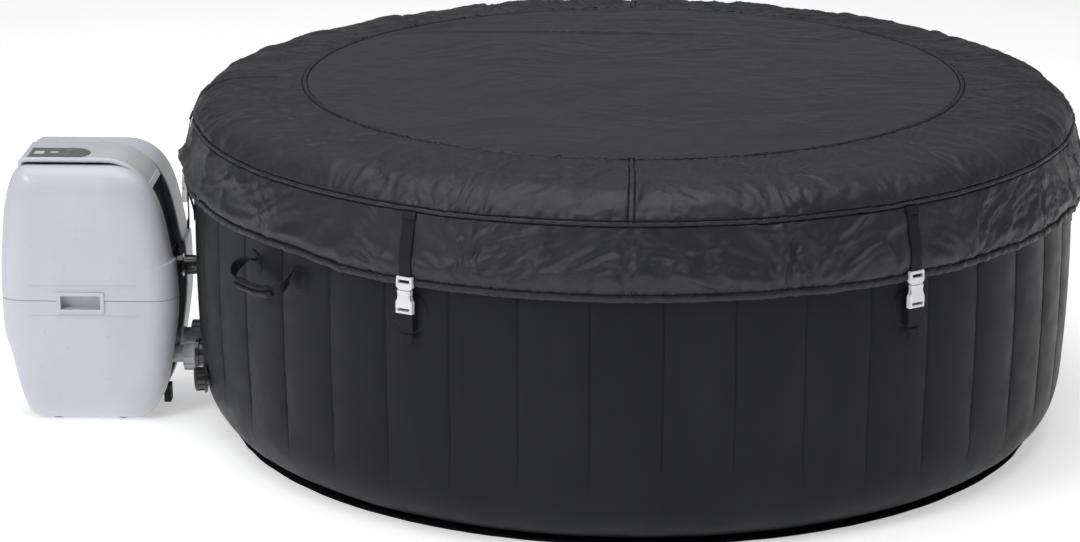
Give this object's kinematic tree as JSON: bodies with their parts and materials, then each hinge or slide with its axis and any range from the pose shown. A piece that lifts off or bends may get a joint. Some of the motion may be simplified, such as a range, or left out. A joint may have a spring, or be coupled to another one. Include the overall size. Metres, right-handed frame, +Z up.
{
  "type": "inflatable hot tub",
  "caption": "Round inflatable hot tub with chambered vinyl wall, padded buckle-down cover, carry handles and a standing pump and heater unit joined by pipes.",
  "frame": {"origin": "middle of the tub's underside, on the ground", "axes": "+Z up, -X towards the pump, -Y the side the control panel and grip face"},
  "size_m": [2.2044, 1.8162, 0.7132],
  "materials": {
    "wall_pvc": "satin vinyl",
    "inner_pvc": "satin vinyl",
    "cover_cloth": "coated nylon",
    "webbing": "woven",
    "buckle_plastic": "satin",
    "shell_plastic": "satin",
    "spine_plastic": "fine grain",
    "dark_plastic": "fine grain",
    "lens_plastic": "gloss",
    "display_plastic": "gloss",
    "fitting_plastic": "satin",
    "black_fitting": "gloss",
    "rubber": "matt",
    "steel": "brushed",
    "filter_paper": "pleated",
    "board": "satin"
  },
  "bodies": {
    "tub": {"air_channel": "inner_pvc", "air_fitting": "black_fitting", "air_pipe": "black_fitting", "back_panel": "dark_plastic", "base_flange": "wall_pvc", "base_screws": "steel", "base_tray": "dark_plastic", "blower_housing": "dark_plastic", "blower_motor": "steel", "buckle_sockets": "buckle_plastic", "circuit_board": "board", "control_lens": "lens_plastic", "cord_gland": "dark_plastic", "debris_screen": "fitting_plastic", "display": "display_plastic", "drain_body": "black_fitting", "end_panel": "shell_plastic", "feet": "rubber", "filter_cartridge": "filter_paper", "filter_housing": "fitting_plastic", "grip_cups": "shell_plastic", "heater": "steel", "inflation_valve": "black_fitting", "inner_wall": "inner_pvc", "outer_wall": "wall_pvc", "pump_volute": "dark_plastic", "shell_far_lower": "shell_plastic", "shell_far_upper": "shell_plastic", "shell_near_lower": "shell_plastic", "shell_near_upper": "shell_plastic", "spine": "spine_plastic", "top_ring": "wall_pvc", "tub_floor": "wall_pvc", "tub_straps": "webbing", "wall_beams": "wall_pvc", "wall_patches": "wall_pvc", "water_fittings": "black_fitting", "water_hose": "rubber", "water_motor": "steel", "water_pipes": "fitting_plastic"},
    "drain_cap": {"drain_cap": "black_fitting"},
    "inflation_cap": {"inflation_cap": "black_fitting"},
    "filter_cap": {"filter_cap": "fitting_plastic"},
    "handle_front": {"handle_front": "webbing"},
    "handle_rear": {"handle_rear": "webbing"},
    "cover": {"cover_centre": "cover_cloth", "cover_band": "cover_cloth", "cover_skirt": "cover_cloth", "cover_hem": "cover_cloth", "cover_straps": "webbing", "buckle_plugs": "buckle_plastic", "lid_bladder": "wall_pvc"},
    "union_nut_near": {"union_nut_near": "fitting_plastic"},
    "union_nut_far": {"union_nut_far": "fitting_plastic"},
    "union_nut_air": {"union_nut_air": "black_fitting"},
    "button_heat": {"button_heat": "display_plastic"},
    "button_up": {"button_up": "dark_plastic"},
    "button_down": {"button_down": "dark_plastic"},
    "impeller": {"impeller": "fitting_plastic"},
    "blower_fan": {"blower_fan": "fitting_plastic"}
  },
  "joints": [
    {"name": "cover_lift", "type": "slide", "parent": "tub", "child": "cover", "axis": [0, 0, 1], "range_m": [0, 0.5]},
    {"name": "drain_cap_turn", "type": "hinge", "parent": "tub", "child": "drain_cap", "pos_m": [-0.86642, -0.24354, 0.122], "axis": [-0.9627, -0.2706, 0], "range_deg": [0, 720]},
    {"name": "inflation_cap_turn", "type": "hinge", "parent": "tub", "child": "inflation_cap", "pos_m": [-0.85595, 0.27812, 0.4], "axis": [-0.9511, 0.309, 0], "range_deg": [0, 540]},
    {"name": "filter_cap_turn", "type": "hinge", "parent": "tub", "child": "filter_cap", "pos_m": [-0.545, 0.035, 0.124], "axis": [1, 0, 0], "range_deg": [0, 60]},
    {"name": "handle_front_swing", "type": "hinge", "parent": "tub", "child": "handle_front", "pos_m": [-0.6796, -0.59915, 0.457], "axis": [-0.6613, 0.7501, 0], "range_deg": [0, 70]},
    {"name": "handle_rear_swing", "type": "hinge", "parent": "tub", "child": "handle_rear", "pos_m": [0.6796, 0.59915, 0.457], "axis": [0.6613, -0.7501, 0], "range_deg": [0, 70]},
    {"name": "union_nut_near_turn", "type": "hinge", "parent": "tub", "child": "union_nut_near", "pos_m": [-0.909, -0.085, 0.124], "axis": [-1, 0, 0], "range_deg": [0, 720]},
    {"name": "union_nut_far_turn", "type": "hinge", "parent": "tub", "child": "union_nut_far", "pos_m": [-0.909, 0.035, 0.124], "axis": [-1, 0, 0], "range_deg": [0, 720]},
    {"name": "union_nut_air_turn", "type": "hinge", "parent": "tub", "child": "union_nut_air", "pos_m": [-0.912, -0.025, 0.298], "axis": [-1, 0, 0], "range_deg": [0, 720]},
    {"name": "button_heat_press", "type": "slide", "parent": "tub", "child": "button_heat", "axis": [0, 0, -1], "range_m": [0, 0.0008], "stiffness_N_per_m": 400, "springref_m": -0.0002},
    {"name": "button_up_press", "type": "slide", "parent": "tub", "child": "button_up", "axis": [0, 0, -1], "range_m": [0, 0.0008], "stiffness_N_per_m": 400, "springref_m": -0.0002},
    {"name": "button_down_press", "type": "slide", "parent": "tub", "child": "button_down", "axis": [0, 0, -1], "range_m": [0, 0.0008], "stiffness_N_per_m": 400, "springref_m": -0.0002},
    {"name": "impeller_spin", "type": "hinge", "parent": "tub", "child": "impeller", "pos_m": [-1.06, -0.085, 0.124], "axis": [1, 0, 0], "continuous": true},
    {"name": "fan_spin", "type": "hinge", "parent": "tub", "child": "blower_fan", "pos_m": [-1.13, -0.025, 0.352], "axis": [0, 1, 0], "continuous": true}
  ]
}
